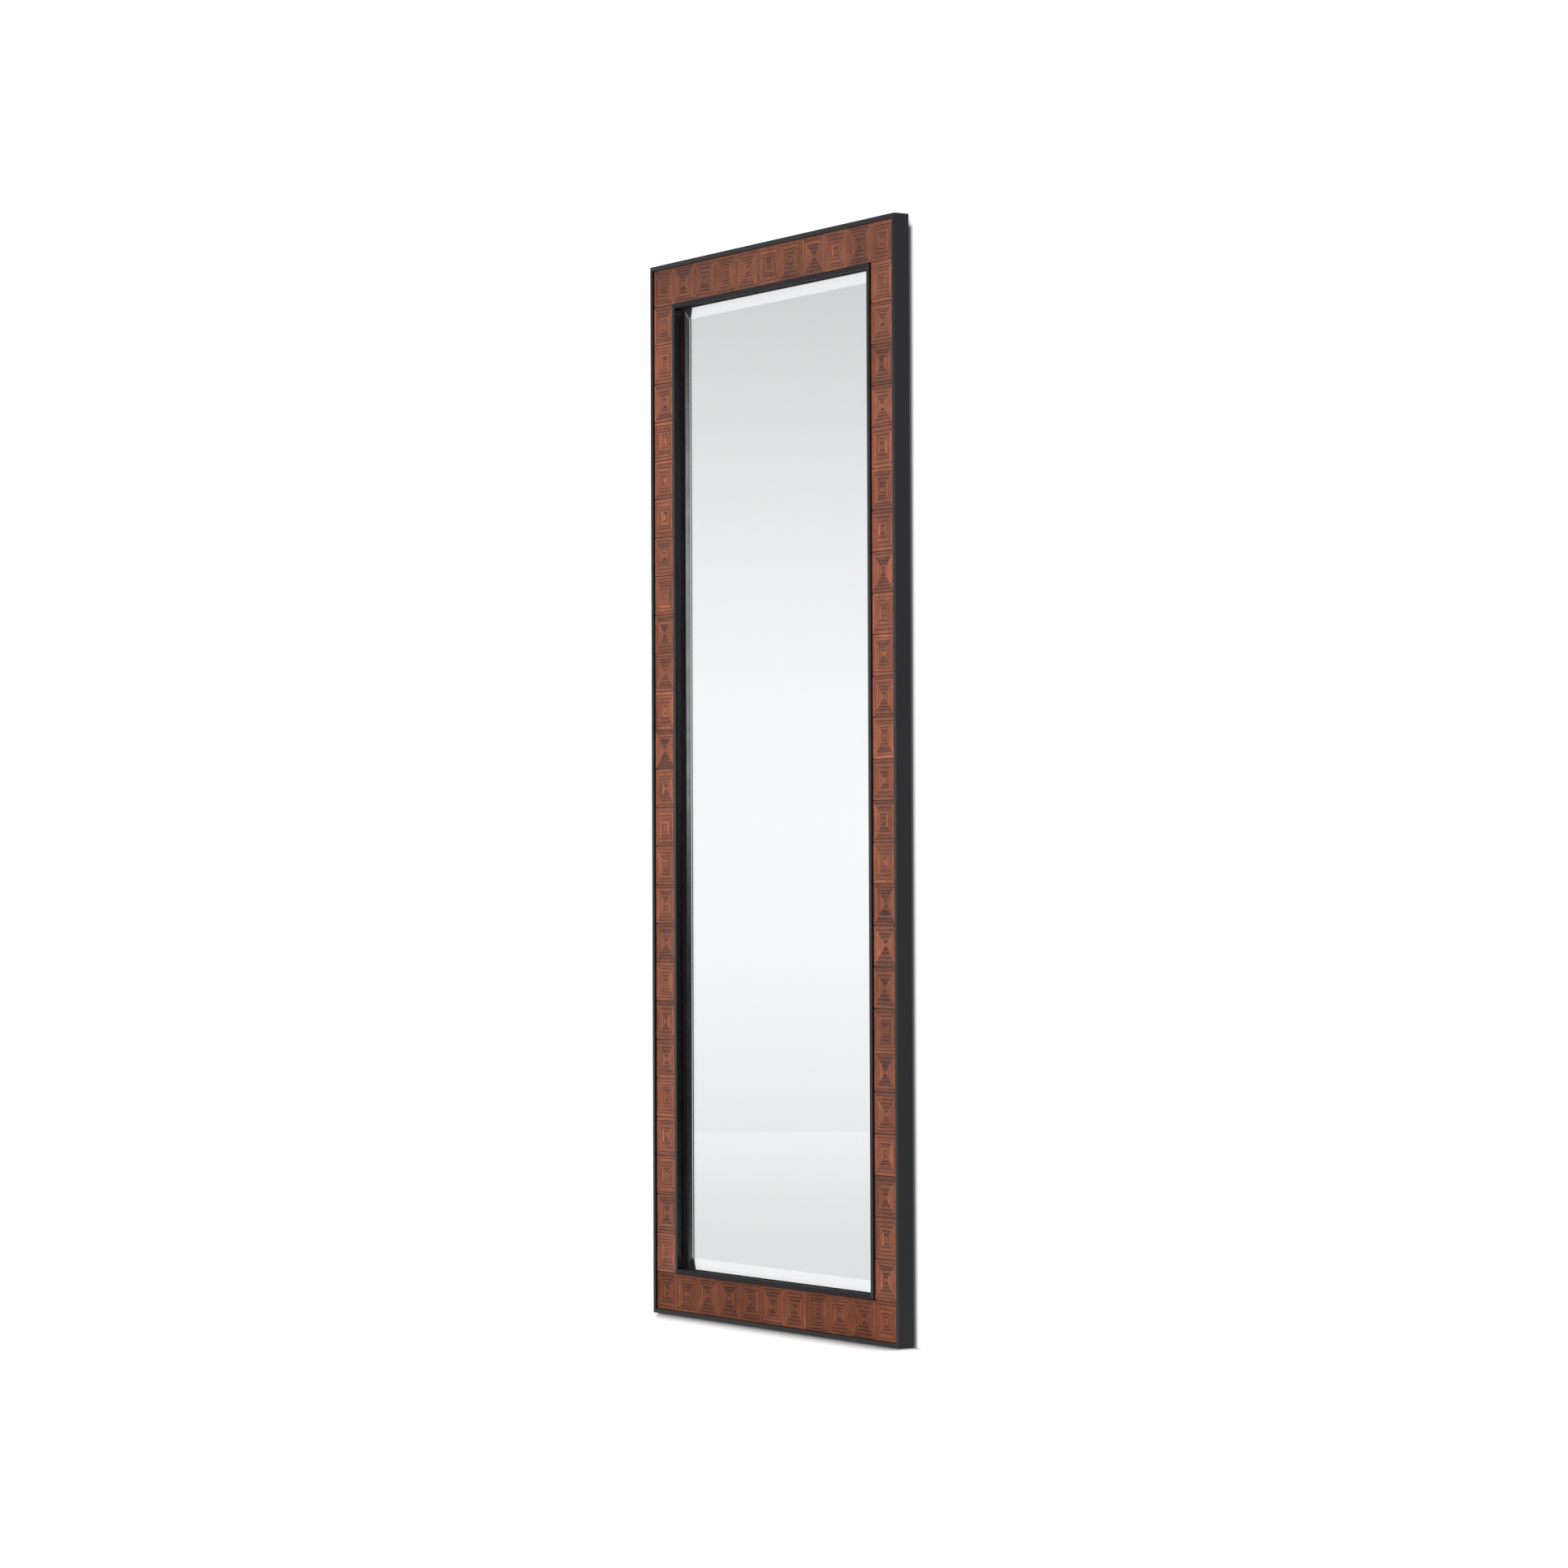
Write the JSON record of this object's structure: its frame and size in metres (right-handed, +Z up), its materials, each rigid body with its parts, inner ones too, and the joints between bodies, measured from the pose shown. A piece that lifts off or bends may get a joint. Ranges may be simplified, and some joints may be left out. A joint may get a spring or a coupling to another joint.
{
  "type": "floor mirror",
  "caption": "Tall rectangular floor mirror: a bevelled plate set deep in a flat frame inlaid with nested-square strip tiles between black rims, with hanging rings on the back.",
  "frame": {"origin": "middle of the bottom of the bounding box, on the floor", "axes": "+Z up the mirror, +Y to the wall behind it, the mirror faces -Y, +X to the right of someone facing it"},
  "size_m": [0.756, 0.0316, 1.829],
  "materials": {
    "black_lacquer": "satin black lacquer",
    "core_board": "matt black paint",
    "strip_inlay": "satin, fine strips laid in nested squares",
    "mirror_plate": "silvered, bevelled edge",
    "rubber": "matt",
    "felt_sheet": "thin needled felt",
    "hardboard": "smooth brown hardboard",
    "beech": "pressed, unfinished",
    "zinc_steel": "zinc plated",
    "nickel_steel": "nickel plated",
    "screw_steel": "zinc plated"
  },
  "bodies": {
    "frame": {"core_rail_left": "core_board", "outer_trim_left": "black_lacquer", "inner_trim_left": "black_lacquer", "inlay_tiles_left": "strip_inlay", "core_rail_right": "core_board", "outer_trim_right": "black_lacquer", "inner_trim_right": "black_lacquer", "inlay_tiles_right": "strip_inlay", "core_rail_top": "core_board", "outer_trim_top": "black_lacquer", "inner_trim_top": "black_lacquer", "inlay_tiles_top": "strip_inlay", "core_rail_bottom": "core_board", "outer_trim_bottom": "black_lacquer", "inner_trim_bottom": "black_lacquer", "inlay_tiles_bottom": "strip_inlay", "mirror_glass": "mirror_plate", "glass_setting_blocks": "rubber", "glass_cushion": "felt_sheet", "back_panel": "hardboard", "mitre_biscuits": "beech", "corner_brace_top_left": "zinc_steel", "corner_brace_top_right": "zinc_steel", "corner_brace_bottom_left": "zinc_steel", "corner_brace_bottom_right": "zinc_steel", "hanger_strap_left": "nickel_steel", "hanger_strap_right": "nickel_steel", "wall_bumpers": "rubber", "foot_pads": "rubber", "back_panel_screws": "screw_steel", "corner_brace_screws": "screw_steel", "hanger_screws": "screw_steel", "bumper_screws": "screw_steel"},
    "ring_left": {"hanger_ring_left": "nickel_steel"},
    "ring_right": {"hanger_ring_right": "nickel_steel"}
  },
  "joints": [
    {"name": "ring_left_swing", "type": "hinge", "parent": "frame", "child": "ring_left", "pos_m": [-0.3434, 0.00925, 1.529], "axis": [1, 0, 0], "range_deg": [-3, 175]},
    {"name": "ring_right_swing", "type": "hinge", "parent": "frame", "child": "ring_right", "pos_m": [0.3434, 0.00925, 1.529], "axis": [1, 0, 0], "range_deg": [-3, 175]}
  ]
}
